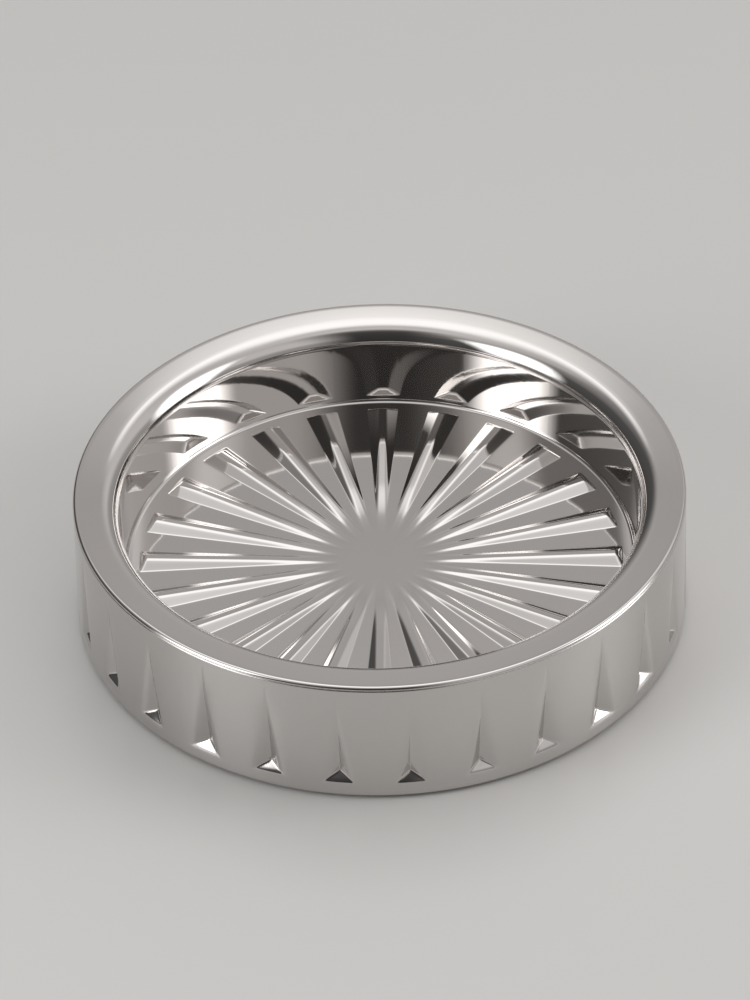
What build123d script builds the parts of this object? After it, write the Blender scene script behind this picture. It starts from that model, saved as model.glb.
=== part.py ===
from build123d import *
import os
from math import cos, radians, sin, tan

# Wine bottle coaster: a mirror-polished, double-walled steel dish.
# The tray that the bottle stands in hangs by its flat rim on a dimpled outer shell.
# A base plate and a rubber foot close the underside.
# Millimetres, +Z up, origin in the middle of the face that rests on the table.

# Whole coaster
outer_diameter = 150.0
overall_height = 35.0
foot_standoff = 0.6          # how far the rubber foot holds the shell off the table

# Tray, pressed from one disc of sheet
tray_sheet = 1.0
rim_width = 10.9             # from the outer edge in to the line of the wall
well_depth = 21.8            # from the rim down to the flat of the floor
wall_draft = 3.8             # degrees, the well is narrower at its floor
lip_radius = 5.2             # roll between the flat rim and the wall
floor_corner_radius = 1.0    # sweep between the wall and the floor
rim_edge_radius = 0.8

# Ribs pressed up into the floor of the tray
rib_count = 24
rib_start_radius = 16.0      # where a rib rises out of the flat centre
rib_height = 1.5             # at its outer end
rib_width = 7.9              # at its outer end
rib_end_slope_run = 1.5      # length of the sloped facet that closes the outer end
rib_end_gap = 2.3            # from that facet to the start of the floor corner

# Shell, a ring of sheet with its bottom edge turned in as a flange
shell_sheet = 1.0
shell_corner_radius = 1.5
shell_flange_width = 12.0

# Dimples pressed into the wall of the shell, each a groove that widens and deepens downwards
dimple_count = 27
dimple_turn = 9.2            # degrees from +X to the first dimple
dimple_width = 7.4           # at its bottom end
dimple_depth = 2.1           # at its deepest point
dimple_bottom_height = 4.7   # from the underside of the shell
dimple_bottom_rise = 2.2     # from the bottom end up to the deepest point
rim_to_dimple = 8.1          # plain wall between the rim and the tip of a dimple

# Base plate and rubber foot
base_sheet = 1.0
base_clearance = 0.5         # to the inside corner of the shell
foot_clearance = 0.5         # to the opening in the flange of the shell

# Heights and radii that follow from the sizes above
outer_radius = outer_diameter / 2
floor_height = overall_height - well_depth
shell_bottom = foot_standoff
shell_top = overall_height - tray_sheet
shell_inner_radius = outer_radius - shell_sheet
flange_opening_radius = outer_radius - shell_flange_width
flange_top = shell_bottom + shell_sheet
base_radius = outer_radius - shell_corner_radius - base_clearance
foot_radius = flange_opening_radius - foot_clearance


def wall_radius(height):
    """Radius of the straight tray wall, on the side of the bottle, at a height."""
    return outer_radius - rim_width - (overall_height - height) * tan(radians(wall_draft))


def ring_of(count, first_angle, piece):
    """Copies of a piece, evenly spaced about the Z axis."""
    return [Rot(0, 0, first_angle + 360 * step / count) * piece for step in range(count)]


def pyramid(apex, corners, reach):
    """Three-sided pyramid whose edges run from the apex past its corners by the factor reach."""
    a, b, c = [apex + (corner - apex) * reach for corner in corners]
    sides = [(a, b, c), (apex, a, b), (apex, b, c), (apex, c, a)]
    return Solid(Shell([Face(Wire.make_polygon(side)) for side in sides]))


def turned(outline, rounds):
    """Ring or disc turned from an outline of (radius, height) points, with some corners rounded."""
    section = make_face(Polyline(*[(radius, 0, height) for radius, height in outline], close=True))
    for (radius, height), rounding in rounds:
        corner = section.vertices().sort_by_distance((radius, 0, height))[0]
        section = fillet(corner, rounding)
    return revolve(section, Axis.Z)


def make_tray():
    """Floor with ribs, drafted wall, rolled lip and flat rim, all of one sheet."""
    sheet_across_wall = tray_sheet / cos(radians(wall_draft))
    rim_under = overall_height - tray_sheet
    floor_under = floor_height - tray_sheet
    rim_edge = (outer_radius, overall_height)
    lip = (wall_radius(overall_height), overall_height)
    lip_under = (wall_radius(rim_under) + sheet_across_wall, rim_under)
    corner = (wall_radius(floor_height), floor_height)
    corner_under = (wall_radius(floor_under) + sheet_across_wall, floor_under)
    outline = [(0, floor_under), corner_under, lip_under, (outer_radius, rim_under)]
    outline += [rim_edge, lip, corner, (0, floor_height)]
    rounds = [(lip, lip_radius), (lip_under, lip_radius - tray_sheet)]
    rounds += [(corner, floor_corner_radius), (corner_under, floor_corner_radius + tray_sheet)]
    rounds += [(rim_edge, rim_edge_radius)]
    dish = turned(outline, rounds)

    # A rib is a roof with one sloped end; the sheet follows it on the underside.
    corner_reach = floor_corner_radius * tan(radians(90 - wall_draft) / 2)
    rib_end_radius = corner[0] - corner_reach - rib_end_gap
    crest_end = Vector(rib_end_radius - rib_end_slope_run, 0, floor_height + rib_height)
    start = Vector(rib_start_radius, 0, floor_height)
    left_end = Vector(rib_end_radius, rib_width / 2, floor_height)
    right_end = Vector(rib_end_radius, -rib_width / 2, floor_height)
    reach_into_sheet = 1 + tray_sheet / 5 / rib_height
    rib = pyramid(crest_end, [start, left_end, right_end], reach_into_sheet)
    ribs = ring_of(rib_count, 0, rib)
    hollows = ring_of(rib_count, 0, Pos(0, 0, -tray_sheet) * rib)
    return dish + ribs - hollows


def make_shell():
    """Dimpled wall whose top edge carries the rim and whose bottom is turned in as a flange."""
    corner = (outer_radius, shell_bottom)
    corner_inside = (shell_inner_radius, flange_top)
    outline = [(flange_opening_radius, shell_bottom), corner, (outer_radius, shell_top)]
    outline += [(shell_inner_radius, shell_top), corner_inside, (flange_opening_radius, flange_top)]
    rounds = [(corner, shell_corner_radius), (corner_inside, shell_corner_radius - shell_sheet)]
    wall = turned(outline, rounds)

    # A dimple is a three-sided notch; the sheet bulges by as much on the inside.
    bottom_height = shell_bottom + dimple_bottom_height
    half_angle = dimple_width / outer_diameter
    deepest = Vector(outer_radius - dimple_depth, 0, bottom_height + dimple_bottom_rise)
    tip = Vector(outer_radius, 0, overall_height - rim_to_dimple)
    bottom_out = outer_radius * cos(half_angle)
    bottom_across = outer_radius * sin(half_angle)
    left_bottom = Vector(bottom_out, bottom_across, bottom_height)
    right_bottom = Vector(bottom_out, -bottom_across, bottom_height)
    bulge_of_wall = dimple_width ** 2 / (4 * outer_diameter)
    reach_past_wall = 1 + (shell_sheet / 2 + bulge_of_wall) / dimple_depth
    notch = pyramid(deepest, [tip, left_bottom, right_bottom], reach_past_wall)
    height = shell_top - shell_bottom
    envelope = Pos(0, 0, shell_bottom + height / 2) * Cylinder(outer_radius, height)
    bulge = (Pos(-shell_sheet, 0, 0) * notch) & envelope
    bulges = ring_of(dimple_count, dimple_turn, bulge)
    notches = ring_of(dimple_count, dimple_turn, notch)
    return wall + bulges - notches


def make_base_plate():
    """Disc that lies on the flange inside the shell."""
    outline = [(0, flange_top), (base_radius, flange_top)]
    outline += [(base_radius, flange_top + base_sheet), (0, flange_top + base_sheet)]
    return turned(outline, [])


def make_foot():
    """Disc glued under the base plate, inside the opening of the flange."""
    outline = [(0, 0), (foot_radius, 0), (foot_radius, flange_top), (0, flange_top)]
    return turned(outline, [])


pieces = {
    "inner_tray": make_tray(),
    "outer_shell": make_shell(),
    "base_plate": make_base_plate(),
    "rubber_foot": make_foot(),
}

os.makedirs("parts", exist_ok=True)
for name, piece in pieces.items():
    export_step(piece, f"parts/{name}.step")
    print(name, round(piece.volume), "mm3")
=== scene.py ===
from math import cos, pi, radians, sin, tan

import bpy
import numpy as np
from mathutils import Matrix, Vector


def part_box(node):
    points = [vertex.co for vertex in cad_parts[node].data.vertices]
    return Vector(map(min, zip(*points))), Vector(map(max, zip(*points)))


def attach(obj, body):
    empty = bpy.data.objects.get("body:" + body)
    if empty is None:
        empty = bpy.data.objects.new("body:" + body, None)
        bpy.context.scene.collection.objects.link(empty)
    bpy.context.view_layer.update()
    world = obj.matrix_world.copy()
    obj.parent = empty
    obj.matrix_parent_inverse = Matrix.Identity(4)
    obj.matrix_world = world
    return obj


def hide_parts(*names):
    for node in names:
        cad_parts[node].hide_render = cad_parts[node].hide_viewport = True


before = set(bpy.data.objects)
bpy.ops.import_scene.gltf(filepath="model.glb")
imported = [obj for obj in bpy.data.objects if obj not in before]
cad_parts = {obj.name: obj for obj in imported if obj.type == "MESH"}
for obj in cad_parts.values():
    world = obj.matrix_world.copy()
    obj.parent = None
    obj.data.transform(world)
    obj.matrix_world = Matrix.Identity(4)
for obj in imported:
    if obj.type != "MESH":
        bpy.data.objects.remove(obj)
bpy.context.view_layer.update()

mm = 0.001
print("frame loaded:", ", ".join(sorted(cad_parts)))

bpy.context.scene.view_settings.view_transform = "Standard"


# Small helpers

def hexColor(code):
    channels = [int(code[i:i + 2], 16) / 255 for i in (0, 2, 4)]
    linear = [c / 12.92 if c <= 0.04045 else ((c + 0.055) / 1.055) ** 2.4 for c in channels]
    return (*linear, 1.0)


def addNode(tree, kind, inputs=None, **settings):
    node = tree.nodes.new(kind)
    for name, value in settings.items():
        setattr(node, name, value)
    for socket, value in (inputs or {}).items():
        if isinstance(value, bpy.types.NodeSocket):
            tree.links.new(value, node.inputs[socket])
        else:
            node.inputs[socket].default_value = value
    return node


def newTree(owner):
    owner.use_nodes = True
    owner.node_tree.nodes.clear()
    return owner.node_tree


def setStops(ramp, stops):
    elements = ramp.color_ramp.elements
    while len(elements) < len(stops):
        elements.new(1.0)
    for element, (position, color) in zip(elements, stops):
        element.position = position
        element.color = color


def arcPoints(centre, radius, startAngle, endAngle, steps):
    angles = np.radians(np.linspace(startAngle, endAngle, steps + 1))
    return [(centre[0] + radius * cos(a), centre[1] + radius * sin(a)) for a in angles]


def softMin(a, b, blend):   # the lower of two surfaces, the crease between them rounded
    overlap = np.maximum(blend - np.abs(a - b), 0.0) / blend
    return np.minimum(a, b) - overlap ** 2 * blend / 4


def softMax(a, b, blend):
    return -softMin(-a, -b, blend)


# Lines of the mesh across one pressed form, from its middle out to the middle of the gap.
# Each zone between two stops has its own number of steps, so bends get the closest lines.
def sectorLines(stops, steps):
    zones = [np.linspace(a, b, count, endpoint=False) for a, b, count in zip(stops, stops[1:], steps)]
    half = np.concatenate(zones)
    return np.concatenate([[-stops[-1]], -half[:0:-1], half])


# Closed mesh from rings of points about the Z axis, in millimetres.
# The profile runs up the inside and down the outside, so faces look outwards.
def ringMesh(name, radii, heights, angles, closedLoop):
    rings = np.stack([radii * np.cos(angles), radii * np.sin(angles), heights], axis=-1)
    ringCount, lineCount = radii.shape
    middle = rings[:, 0]
    steps = np.linalg.norm(np.diff(middle, axis=0, append=middle[:1]), axis=1)
    travel = np.concatenate([[0.0], np.cumsum(steps)])
    nextAngles = np.roll(angles, -1, axis=1)
    nextAngles[:, -1] += 2 * pi

    index = np.arange(ringCount * lineCount).reshape(ringCount, lineCount)
    points = rings.reshape(-1, 3)
    first, second = (index, np.roll(index, -1, axis=0)) if closedLoop else (index[:-1], index[1:])
    corners = [first, second, np.roll(second, -1, axis=1), np.roll(first, -1, axis=1)]
    faces = np.stack(corners, axis=-1).reshape(-1, 4).tolist()
    ringsUsed = ringCount if closedLoop else ringCount - 1
    after = (np.arange(ringsUsed) + 1) % ringCount
    turns = [angles[:ringsUsed], angles[after], nextAngles[after], nextAngles[:ringsUsed]]
    rises = [travel[:ringsUsed], travel[1:ringsUsed + 1], travel[1:ringsUsed + 1], travel[:ringsUsed]]
    widest = radii.max()
    around = np.stack(turns, axis=-1) * widest
    along = np.stack([np.repeat(r[:, None], lineCount, axis=1) for r in rises], axis=-1)
    uv = np.stack([around, along], axis=-1).reshape(-1, 2)
    if not closedLoop:   # a disc: fans of triangles close it at the axis, above and below
        fans = [(0, 0.0, -radii[0, 0], (0, 1)), (-1, travel[ringCount - 1], radii[-1, 0], (1, 0))]
        for row, rise, toAxis, order in fans:
            axis = np.full(lineCount, len(points))
            points = np.concatenate([points, [[0, 0, heights[row].mean()]]])
            ends = (index[row], np.roll(index[row], -1))
            faces += np.stack([axis, ends[order[0]], ends[order[1]]], axis=-1).tolist()
            edges = (angles[row] * widest, nextAngles[row] * widest)
            fanAround = np.stack([(edges[0] + edges[1]) / 2, edges[order[0]], edges[order[1]]], axis=-1)
            fanAlong = np.tile([rise + toAxis, rise, rise], (lineCount, 1))
            uv = np.concatenate([uv, np.stack([fanAround, fanAlong], axis=-1).reshape(-1, 2)])

    mesh = bpy.data.meshes.new(name)
    mesh.from_pydata((points * mm).tolist(), [], faces)
    layer = mesh.uv_layers.new(name="sheet")   # metres around the axis and along the profile
    layer.data.foreach_set("uv", (uv * mm).astype(np.float32).ravel())
    mesh.shade_smooth()
    mesh.validate()
    piece = bpy.data.objects.new(name, mesh)
    bpy.context.scene.collection.objects.link(piece)
    return piece


def place(piece, node, material):
    piece.data.materials.append(material)
    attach(piece, "root")
    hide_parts(node)
    print("made", piece.name, len(piece.data.polygons), "faces")


# Materials

# Cold-rolled stainless sheet, pressed and then mirror polished on a turning buff.
# Gives a bright, slightly warm mirror with faint rings of polish and a sheet that is not dead flat.
def polishedSteel(name, look):
    material = bpy.data.materials.new(name)
    tree = newTree(material)
    sheet = addNode(tree, "ShaderNodeUVMap", uv_map="sheet").outputs["UV"]
    place3d = addNode(tree, "ShaderNodeTexCoord").outputs["Object"]

    tint = addNode(tree, "ShaderNodeTexNoise", {"Vector": place3d, "Scale": 1 / (look["tintPatch"] * mm),
                                                "Detail": 2.0})
    color = addNode(tree, "ShaderNodeMix", {"Factor": tint.outputs["Fac"], "A": hexColor(look["color"]),
                                            "B": hexColor(look["colorWarm"])}, data_type="RGBA")

    stretched = addNode(tree, "ShaderNodeMapping",
                        {"Vector": sheet, "Scale": (1 / (look["lineLength"] * mm), 1 / (look["lineWidth"] * mm), 1)})
    lines = addNode(tree, "ShaderNodeTexNoise", {"Vector": stretched.outputs["Vector"], "Scale": 1.0, "Detail": 3.0,
                                                 "Roughness": 0.6})
    smudge = addNode(tree, "ShaderNodeTexNoise", {"Vector": place3d, "Scale": 1 / (look["smudge"] * mm),
                                                  "Detail": 4.0, "Roughness": 0.55})
    mixed = addNode(tree, "ShaderNodeMath", {0: lines.outputs["Fac"], 1: smudge.outputs["Fac"]},
                    operation="MULTIPLY")
    rough = addNode(tree, "ShaderNodeMapRange", {"Value": mixed.outputs["Value"], "From Min": 0.12, "From Max": 0.42,
                                                 "To Min": look["roughness"][0], "To Max": look["roughness"][1]})

    ripple = addNode(tree, "ShaderNodeTexNoise", {"Vector": place3d, "Scale": 1 / (look["ripple"] * mm),
                                                  "Detail": 1.0})
    wavy = addNode(tree, "ShaderNodeBump", {"Height": ripple.outputs["Fac"], "Strength": 1.0,
                                            "Distance": look["rippleHeight"] * mm})
    buffed = addNode(tree, "ShaderNodeBump", {"Height": lines.outputs["Fac"], "Strength": 1.0,
                                              "Distance": look["lineHeight"] * mm,
                                              "Normal": wavy.outputs["Normal"]})
    steel = addNode(tree, "ShaderNodeBsdfPrincipled", {"Metallic": 1.0, "Base Color": color.outputs["Result"],
                                                       "Roughness": rough.outputs["Result"],
                                                       "Normal": buffed.outputs["Normal"]})
    addNode(tree, "ShaderNodeOutputMaterial", {"Surface": steel.outputs["BSDF"]})
    return material


# Tray

trayInfo = {
    "sheet": 1.0, "rimWidth": 10.9, "wellDepth": 21.8, "wallDraft": 3.8,
    "lipRadius": 5.2, "floorCorner": 1.0, "rimEdge": 0.8, "underEdge": 0.25,
    "rimTilt": (3.3, 3.9),   # degrees at the outer edge and at the lip, the rim sinks inwards
    "ribs": 24, "ribWidth": 7.9, "ribFlank": 26.5,   # width at the outer end, degrees of a flank at its foot
    "ribFocus": -3.2,        # where the lines of the feet would meet, past the middle
    "crestFlat": 1.0, "crestRound": 1.8,   # width of the flat top, radius between it and a flank
    "ribStart": (9.0, 29.0),   # radii between which a rib grows out of the flat middle
    "ribEndRun": 1.5, "ribEndGap": 2.3, "footRound": 0.08, "endRound": 0.6,
    "lineSteps": (2, 6, 3, 4, 4), "footLines": 0.22,   # lines of the mesh across a rib, reach of those at its foot
    "firstRing": 1.5, "ringStep": 1.0, "endZone": 1.5, "ringStepAtEnds": 0.12,
}
trayLook = {
    "color": "d0cecd", "colorWarm": "d3cfcc", "tintPatch": 45.0,
    "lineLength": 60.0, "lineWidth": 0.5, "lineHeight": 0.0006,   # buffing lines, drawn coarser than real
    "smudge": 16.0, "roughness": (0.035, 0.075), "ripple": 18.0, "rippleHeight": 0.008,
}

outerRadius = min(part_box("inner_tray")[1].x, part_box("inner_tray")[1].y) / mm
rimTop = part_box("inner_tray")[1].z / mm


def buildTray(info):
    draft = info["wallDraft"]
    sheet = info["sheet"]
    tangent = tan(radians(45 - draft / 2))
    floorTop = rimTop - info["wellDepth"]
    wallAtRim = outerRadius - info["rimWidth"]
    wallAtFloor = wallAtRim - info["wellDepth"] * tan(radians(draft))
    edge = info["rimEdge"]
    under = info["underEdge"]
    edgeTilt, lipTilt = info["rimTilt"]
    rimOut = outerRadius - edge - edge * sin(radians(edgeTilt))
    rimOutHeight = rimTop - edge + edge * cos(radians(edgeTilt))
    lipAcross = wallAtRim + info["lipRadius"] * tangent
    rimIn = lipAcross - info["lipRadius"] * sin(radians(lipTilt))
    rimBend = (rimOut - rimIn) / (sin(radians(lipTilt)) - sin(radians(edgeTilt)))
    rimCentre = (rimOut + rimBend * sin(radians(edgeTilt)), rimOutHeight - rimBend * cos(radians(edgeTilt)))
    rimInHeight = rimCentre[1] + rimBend * cos(radians(lipTilt))
    lipCentre = (lipAcross, rimInHeight - info["lipRadius"] * cos(radians(lipTilt)))
    cornerCentre = (wallAtFloor - info["floorCorner"] * tangent, floorTop + info["floorCorner"])
    ribEnd = cornerCentre[0] - info["ribEndGap"]
    crestEnd = ribEnd - info["ribEndRun"]

    # Radii of the floor's rings, close together where the ribs end
    endZone = crestEnd - info["endZone"]
    floorRadii = np.arange(info["firstRing"], endZone - 0.1, info["ringStep"])
    floorRadii = np.concatenate([floorRadii, np.arange(endZone + 0.1, cornerCentre[0], info["ringStepAtEnds"])])
    upper = [(r, floorTop) for r in floorRadii]
    upper += arcPoints(cornerCentre, info["floorCorner"], -90, -draft, 14)
    upper += arcPoints(lipCentre, info["lipRadius"], 180 - draft, 90 + lipTilt, 24)
    upper += arcPoints(rimCentre, rimBend, 90 + lipTilt, 90 + edgeTilt, 6)[1:-1]
    upper += arcPoints((outerRadius - edge, rimTop - edge), edge, 90 + edgeTilt, 0, 10)
    lower = arcPoints((outerRadius - under, rimTop - sheet + under), under, 0, -90, 3)
    lower += arcPoints(lipCentre, info["lipRadius"] - sheet, 90, 180 - draft, 8)
    lower += arcPoints(cornerCentre, info["floorCorner"] + sheet, -draft, -90, 8)
    lowerRadii = floorRadii[::-3]   # the hidden side needs fewer rings
    lower += [(r, floorTop - sheet) for r in lowerRadii]
    profile = np.array(upper + lower)
    ribbed = np.zeros(len(profile), bool)
    ribbed[:len(floorRadii)] = True
    ribbed[-len(lowerRadii):] = True

    # Lines across each rib follow the edges of its flat top, its flanks and its feet
    sector = 2 * pi / info["ribs"]
    spread = info["ribWidth"] / 2 / (ribEnd - info["ribFocus"])
    flank = tan(radians(info["ribFlank"]))
    bend = info["crestRound"]
    flat = info["crestFlat"] / 2
    lines = []
    for radius in profile[:, 0]:
        footLine = min(spread * (1 - info["ribFocus"] / radius), 0.33 * sector)
        flatLine = min(flat / radius, 0.35 * footLine)
        flankLine = min(flatLine + flank * bend / radius, 0.9 * footLine)
        nearFoot = min(info["footLines"] / radius, 0.08 * footLine)
        lines.append(sectorLines([0, flatLine, flankLine, footLine - nearFoot, footLine + nearFoot, sector / 2],
                                 info["lineSteps"]))
    lines = np.array(lines)
    fromRib = np.tile(lines, (1, info["ribs"]))
    angles = fromRib + np.repeat(np.arange(info["ribs"]) * sector, lines.shape[1])

    # A rib is a roof with a flat, rounded top that grows outwards and is closed by a sloped end
    along = profile[:, :1] * np.cos(fromRib)
    across = profile[:, :1] * np.sin(fromRib)
    reach = np.maximum(spread * (along - info["ribFocus"]) - flat, 0.05)
    beside = np.maximum(np.abs(across) - flat, 0.0)
    steep = np.minimum(flank, reach / bend)
    roof = np.where(beside < steep * bend, steep * (reach - steep * bend / 2) - beside ** 2 / (2 * bend),
                    steep * (reach - beside))
    start, full = info["ribStart"]
    growth = np.clip((along - start) / (full - start), 0.0, 1.0)
    roof *= growth ** 2 * (3 - 2 * growth)
    endHeight = flank * (info["ribWidth"] / 2 - flat - flank * bend / 2)
    end = endHeight / info["ribEndRun"] * (ribEnd - along)
    rib = softMin(roof, end, info["endRound"])
    rise = softMax(rib, 0 * rib, info["footRound"])
    heights = profile[:, 1:] + np.where(ribbed[:, None], rise, 0.0)
    radii = np.repeat(profile[:, :1], angles.shape[1], axis=1)
    return ringMesh("pressed_tray", radii, heights, angles, closedLoop=False)


tray = buildTray(trayInfo)
place(tray, "inner_tray", polishedSteel("stainless_steel_mirror_polished", trayLook))


# Shell

shellInfo = {
    "sheet": 1.0, "corner": 1.5, "flange": 12.0, "topEdge": 0.3,
    "dimples": 27, "dimpleTurn": 9.2, "dimpleWidth": 7.4, "dimpleDepth": 2.1,
    "dimpleFoot": 4.7, "dimpleRise": 2.2, "rimToDimple": 8.1,
    "creaseRound": 0.12, "outlineRound": 0.8, "endRound": 0.14,
    "lineSteps": (3, 4, 7, 3), "ringStep": 1.0, "ringStepAtEnds": 0.2,
}
shellLook = {
    "color": "cbc9c8", "colorWarm": "cfcbc8", "tintPatch": 45.0,
    "lineLength": 60.0, "lineWidth": 0.5, "lineHeight": 0.0012,   # buffing lines, drawn coarser than real
    "smudge": 18.0, "roughness": (0.07, 0.13), "ripple": 16.0, "rippleHeight": 0.012,
}


def buildShell(info):
    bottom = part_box("outer_shell")[0].z / mm
    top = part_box("outer_shell")[1].z / mm
    sheet = info["sheet"]
    corner = info["corner"]
    opening = outerRadius - info["flange"]
    centre = (outerRadius - corner, bottom + corner)
    dimpleBottom = bottom + info["dimpleFoot"]
    deepest = dimpleBottom + info["dimpleRise"]
    tip = rimTop - info["rimToDimple"]
    edge = info["topEdge"]

    # Heights of the wall's rings, close together at the bottom end of the dimples
    wallHeights = np.arange(dimpleBottom - 1.2, deepest + 1.6, info["ringStepAtEnds"])
    wallHeights = np.concatenate([wallHeights, np.arange(deepest + 2.0, top - 0.5, info["ringStep"])])
    inside = [(opening, bottom + sheet), (centre[0] - 4, bottom + sheet)]
    inside += arcPoints(centre, corner - sheet, -90, 0, 6)
    insideWall = [(outerRadius - sheet, z) for z in wallHeights[::2]]   # the hidden side needs fewer rings
    outside = arcPoints((outerRadius - sheet + edge, top - edge), edge, 180, 90, 3)
    outside += arcPoints((outerRadius - edge, top - edge), edge, 90, 0, 3)
    outsideWall = [(outerRadius, z) for z in wallHeights[::-1]]
    under = arcPoints(centre, corner, 0, -90, 10)
    under += [(centre[0] - 4, bottom), (opening, bottom)]
    profile = np.array(inside + insideWall + outside + outsideWall + under)
    pressed = np.array([False] * len(inside) + [True] * len(insideWall) + [False] * len(outside)
                       + [True] * len(outsideWall) + [False] * len(under))

    sector = 2 * pi / info["dimples"]
    halfWidth = info["dimpleWidth"] / 2 * (tip - profile[:, 1]) / (tip - dimpleBottom)
    sides = np.clip(halfWidth, 0.7, info["dimpleWidth"] / 2) / outerRadius
    lines = np.array([sectorLines([0, 0.08 * side, 0.65 * side, 1.4 * side, sector / 2], info["lineSteps"])
                      for side in sides])
    fromDimple = np.tile(lines, (1, info["dimples"]))
    angles = fromDimple + np.repeat(np.arange(info["dimples"]) * sector, lines.shape[1])
    angles = angles + radians(info["dimpleTurn"])

    # A dimple is a V groove that deepens downwards and is closed by a facet that faces up
    across = outerRadius * fromDimple
    height = profile[:, 1:]
    deepen = info["dimpleDepth"] / (tip - deepest)
    flank = deepen * (tip - dimpleBottom) / (info["dimpleWidth"] / 2)
    spine = deepen * (tip - height)
    groove = softMin(spine - flank * across, spine + flank * across, info["creaseRound"])
    facet = info["dimpleDepth"] / info["dimpleRise"] * (height - dimpleBottom) + 0 * across
    depth = softMax(softMin(groove, facet, info["endRound"]), 0 * groove, info["outlineRound"])
    radii = profile[:, :1] - np.where(pressed[:, None], depth, 0.0)
    heights = np.repeat(height, angles.shape[1], axis=1)
    return ringMesh("dimpled_shell", radii, heights, angles, closedLoop=True)


shell = buildShell(shellInfo)
place(shell, "outer_shell", polishedSteel("stainless_steel_buffed_wall", shellLook))


# Rubber foot

footInfo = {"edge": 0.4, "lines": 240}
footLook = {"color": "1b1b1b", "colorWorn": "2a2928", "bloom": 22.0, "grain": 0.6, "grainHeight": 0.03,
            "roughness": (0.62, 0.85)}


def buildFoot(info):
    low, high = (corner.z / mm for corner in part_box("rubber_foot"))
    radius = min(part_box("rubber_foot")[1].x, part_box("rubber_foot")[1].y) / mm
    edge = info["edge"]
    profile = [(1.0, high), (radius / 2, high), (radius - edge - 1, high)]
    profile += arcPoints((radius - edge, high - edge), edge, 90, 0, 6)
    profile += arcPoints((radius - edge, low + edge), edge, 0, -90, 6)
    profile += [(radius - edge - 1, low), (radius / 2, low), (1.0, low)]
    profile = np.array(profile)
    angles = np.tile(np.arange(info["lines"]) * 2 * pi / info["lines"], (len(profile), 1))
    radii = np.repeat(profile[:, :1], info["lines"], axis=1)
    heights = np.repeat(profile[:, 1:], info["lines"], axis=1)
    return ringMesh("moulded_foot", radii, heights, angles, closedLoop=False)


# Black nitrile rubber, moulded against a fine-grained tool: matt, with a faint bloom.
def mouldedRubber(name, look):
    material = bpy.data.materials.new(name)
    tree = newTree(material)
    place3d = addNode(tree, "ShaderNodeTexCoord").outputs["Object"]
    bloom = addNode(tree, "ShaderNodeTexNoise", {"Vector": place3d, "Scale": 1 / (look["bloom"] * mm), "Detail": 5.0})
    grain = addNode(tree, "ShaderNodeTexNoise", {"Vector": place3d, "Scale": 1 / (look["grain"] * mm), "Detail": 2.0})
    color = addNode(tree, "ShaderNodeMix", {"Factor": bloom.outputs["Fac"], "A": hexColor(look["color"]),
                                            "B": hexColor(look["colorWorn"])}, data_type="RGBA")
    rough = addNode(tree, "ShaderNodeMapRange", {"Value": bloom.outputs["Fac"], "To Min": look["roughness"][0],
                                                 "To Max": look["roughness"][1]})
    bump = addNode(tree, "ShaderNodeBump", {"Height": grain.outputs["Fac"], "Strength": 1.0,
                                            "Distance": look["grainHeight"] * mm})
    rubber = addNode(tree, "ShaderNodeBsdfPrincipled", {"IOR": 1.52, "Base Color": color.outputs["Result"],
                                                        "Roughness": rough.outputs["Result"],
                                                        "Normal": bump.outputs["Normal"]})
    addNode(tree, "ShaderNodeOutputMaterial", {"Surface": rubber.outputs["BSDF"]})
    return material


foot = buildFoot(footInfo)
place(foot, "rubber_foot", mouldedRubber("nitrile_rubber_moulded", footLook))


# Base plate: the CAD disc keeps its shape and gets a finish

plateLook = {"color": "9d9b98", "colorLight": "b4b2af", "grainLength": 30.0, "grainWidth": 0.35,
             "grainHeight": 0.004, "roughness": (0.28, 0.42)}


# Cold-rolled stainless sheet as it comes from the mill: grey satin with a straight rolling grain.
def rolledSteel(name, look):
    material = bpy.data.materials.new(name)
    tree = newTree(material)
    place3d = addNode(tree, "ShaderNodeTexCoord").outputs["Object"]
    stretched = addNode(tree, "ShaderNodeMapping", {"Vector": place3d, "Scale": (1 / (look["grainLength"] * mm),
                                                                                 1 / (look["grainWidth"] * mm), 1)})
    grain = addNode(tree, "ShaderNodeTexNoise", {"Vector": stretched.outputs["Vector"], "Scale": 1.0, "Detail": 4.0})
    color = addNode(tree, "ShaderNodeMix", {"Factor": grain.outputs["Fac"], "A": hexColor(look["color"]),
                                            "B": hexColor(look["colorLight"])}, data_type="RGBA")
    rough = addNode(tree, "ShaderNodeMapRange", {"Value": grain.outputs["Fac"], "To Min": look["roughness"][0],
                                                 "To Max": look["roughness"][1]})
    bump = addNode(tree, "ShaderNodeBump", {"Height": grain.outputs["Fac"], "Strength": 1.0,
                                            "Distance": look["grainHeight"] * mm})
    steel = addNode(tree, "ShaderNodeBsdfPrincipled", {"Metallic": 1.0, "Base Color": color.outputs["Result"],
                                                       "Roughness": rough.outputs["Result"],
                                                       "Normal": bump.outputs["Normal"]})
    addNode(tree, "ShaderNodeOutputMaterial", {"Surface": steel.outputs["BSDF"]})
    return material


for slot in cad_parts["base_plate"].material_slots:
    slot.material = rolledSteel("stainless_steel_mill_finish", plateLook)


# Floor, light and camera

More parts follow.
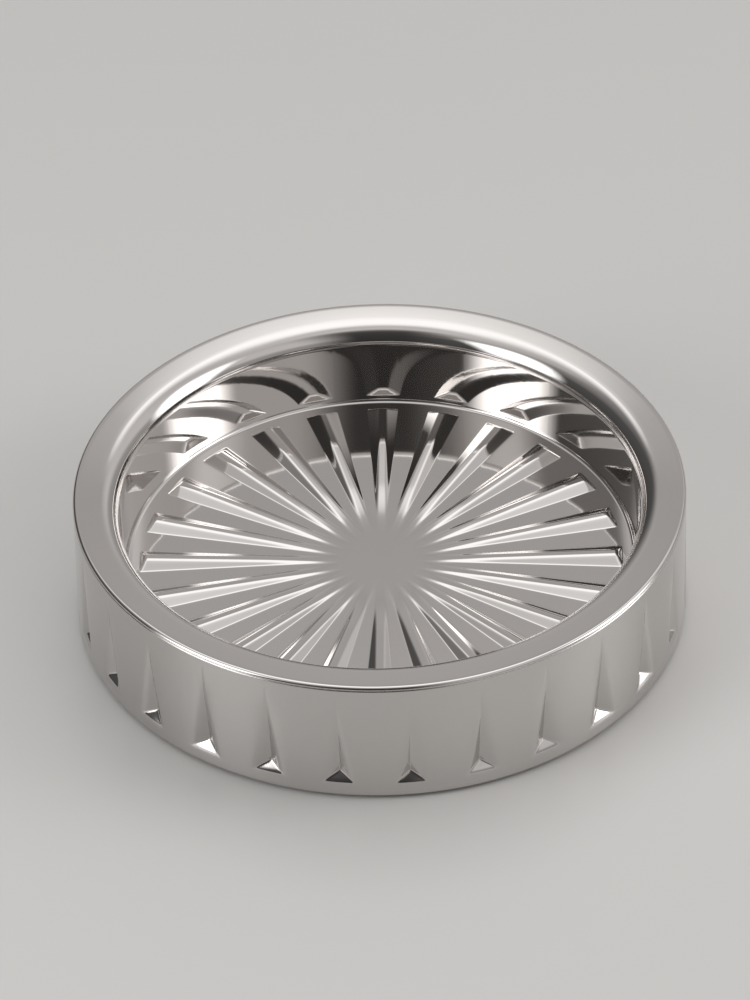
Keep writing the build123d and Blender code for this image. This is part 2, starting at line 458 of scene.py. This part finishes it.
floorInfo = {"radius": 6.0, "sides": 64, "color": "d3d2d0", "roughness": 0.35}   # metres, a wide round board
floorMesh = bpy.data.meshes.new("floor")
turns = np.linspace(0, 2 * pi, floorInfo["sides"], endpoint=False)
edgePoints = [(floorInfo["radius"] * cos(a), floorInfo["radius"] * sin(a), 0.0) for a in turns]
floorMesh.from_pydata(edgePoints, [], [list(range(floorInfo["sides"]))])
floor = bpy.data.objects.new("floor", floorMesh)
bpy.context.scene.collection.objects.link(floor)
floorMaterial = bpy.data.materials.new("painted_board_satin")
tree = newTree(floorMaterial)
board = addNode(tree, "ShaderNodeBsdfPrincipled", {"Base Color": hexColor(floorInfo["color"]),
                                                   "Roughness": floorInfo["roughness"]})
addNode(tree, "ShaderNodeOutputMaterial", {"Surface": board.outputs["BSDF"]})
floorMesh.materials.append(floorMaterial)

# Soft studio: a white tent overhead, grey behind the object and on the right, dim on the left and behind the camera.
# Stops of "over" are degrees from the horizon behind the camera, over the top, to the horizon at the back.
# Those of the sides are degrees above the horizon.
worldInfo = {
    "over": [(0, "2c2b2a"), (40, "363534"), (54, "3f3e3d"), (62, "636160"), (66, "939190"), (71, "b6b4b3"),
             (82, "b4b2b1"), (87, "b8b6b5"), (90, "c8c7c6"), (95, "e4e3e2"), (100, "f2f1f1"), (106, "fbfbfb"),
             (130, "fbfbfb"), (134, "f5f4f4"), (135.5, "dcdbda"), (136.5, "d3d2d1"), (138.5, "a5a3a2"),
             (141, "949291"), (147, "9c9a99"), (160, "9e9c9b"), (170, "949291"), (180, "7d7b7a")],
    "left": [(0, "3e3d3c"), (30, "484746"), (47, "7c7a79"), (54, "a4a2a1"), (66, "b6b4b3"), (75, "c6c5c4"),
             (84, "f0f0f0"), (90, "f8f8f8")],
    "right": [(0, "807e7d"), (16, "8c8a89"), (26, "b2b0af"), (40, "b2b0af"), (54, "aaa8a7"), (66, "b6b4b3"),
              (75, "c6c5c4"), (84, "f0f0f0"), (90, "f8f8f8")],
    "sideStart": 0.12, "sideFull": 0.5, "strength": 1.6,
}
world = bpy.data.worlds.new("studio")
bpy.context.scene.world = world
tree = newTree(world)
direction = addNode(tree, "ShaderNodeSeparateXYZ",
                    {"Vector": addNode(tree, "ShaderNodeTexCoord").outputs["Generated"]})
forward = addNode(tree, "ShaderNodeMath", {0: direction.outputs["Y"], 1: -1.0}, operation="MULTIPLY")
overAngle = addNode(tree, "ShaderNodeMath", {0: direction.outputs["Z"], 1: forward.outputs["Value"]},
                    operation="ARCTAN2")
sideAngle = addNode(tree, "ShaderNodeMath", {0: direction.outputs["Z"]}, operation="ARCSINE")
ramps = {}
for side, angle in (("over", overAngle), ("left", sideAngle), ("right", sideAngle)):
    share = addNode(tree, "ShaderNodeMath", {0: angle.outputs["Value"], 1: pi}, operation="DIVIDE")
    ramps[side] = addNode(tree, "ShaderNodeValToRGB", {"Fac": share.outputs["Value"]})
    setStops(ramps[side], [(degrees / 180, hexColor(code)) for degrees, code in worldInfo[side]])
sky = ramps["over"].outputs["Color"]
for side, sign in (("left", -1), ("right", 1)):
    toSide = addNode(tree, "ShaderNodeMapRange", {"Value": direction.outputs["X"],
                                                  "From Min": sign * worldInfo["sideStart"],
                                                  "From Max": sign * worldInfo["sideFull"]},
                     interpolation_type="SMOOTHSTEP")
    sky = addNode(tree, "ShaderNodeMix", {"Factor": toSide.outputs["Result"], "A": sky,
                                          "B": ramps[side].outputs["Color"]}, data_type="RGBA").outputs["Result"]
background = addNode(tree, "ShaderNodeBackground", {"Color": sky,
                                                    "Strength": worldInfo["strength"]})
addNode(tree, "ShaderNodeOutputWorld", {"Surface": background.outputs["Background"]})

# Softboxes: where each hangs from the object, in degrees and metres, its size and its glow (1 is white)
softboxes = {
    "left_panel": {"azimuth": -119, "elevation": 26, "distance": 1.1, "size": (0.9, 1.2), "glow": 3.2, "fade": 0.35},
    "right_panel": {"azimuth": 92, "elevation": 25, "distance": 1.1, "size": (0.8, 1.15), "glow": 2.9, "fade": 0.35},
}
for name, box in softboxes.items():
    lamp = bpy.data.lights.new(name, "AREA")
    lamp.shape = "RECTANGLE"
    lamp.size, lamp.size_y = box["size"]
    lamp.energy = box["glow"] * pi * lamp.size * lamp.size_y
    tree = newTree(lamp)
    spot = addNode(tree, "ShaderNodeSeparateXYZ",
                   {"Vector": addNode(tree, "ShaderNodeNewGeometry").outputs["Parametric"]})
    fades = []
    for side in ("X", "Y"):   # the glow fades towards the edges of the cloth
        toEdge = addNode(tree, "ShaderNodeMath", {0: spot.outputs[side], 1: 0.5}, operation="PINGPONG")
        fades.append(addNode(tree, "ShaderNodeMapRange", {"Value": toEdge.outputs["Value"], "From Max": box["fade"]},
                             interpolation_type="SMOOTHSTEP"))
    glow = addNode(tree, "ShaderNodeMath", {0: fades[0].outputs["Result"], 1: fades[1].outputs["Result"]},
                   operation="MULTIPLY")
    cloth = addNode(tree, "ShaderNodeEmission", {"Strength": glow.outputs["Value"]})
    addNode(tree, "ShaderNodeOutputLight", {"Surface": cloth.outputs["Emission"]})
    azimuth, elevation = radians(box["azimuth"]), radians(box["elevation"])
    away = Vector((sin(azimuth) * cos(elevation), cos(azimuth) * cos(elevation), sin(elevation)))
    holder = bpy.data.objects.new(name, lamp)
    holder.location = away * box["distance"]
    holder.rotation_euler = away.to_track_quat("Z", "Y").to_euler()
    holder.visible_camera = False
    bpy.context.scene.collection.objects.link(holder)
print("lit by", len(softboxes), "softboxes")

# Camera: long lens from in front and above, aimed at a point of the table behind the middle
cameraInfo = {"elevation": 39.0, "turn": 1.41, "roll": -1.53, "distance": 2.0, "lens": 287.0,
              "aim": (-2.06, 38.6, 0.6)}
lens = bpy.data.cameras.new("camera")
lens.lens = cameraInfo["lens"]
lens.sensor_width = 36.0
lens.clip_end = 30.0
camera = bpy.data.objects.new("camera", lens)
bpy.context.scene.collection.objects.link(camera)
pointing = (Matrix.Rotation(radians(cameraInfo["turn"]), 4, "Z")
            @ Matrix.Rotation(radians(90 - cameraInfo["elevation"]), 4, "X")
            @ Matrix.Rotation(radians(cameraInfo["roll"]), 4, "Z"))
back = pointing @ Vector((0, 0, 1))
camera.matrix_world = Matrix.Translation(Vector(cameraInfo["aim"]) * mm + back * cameraInfo["distance"]) @ pointing
bpy.context.scene.camera = camera
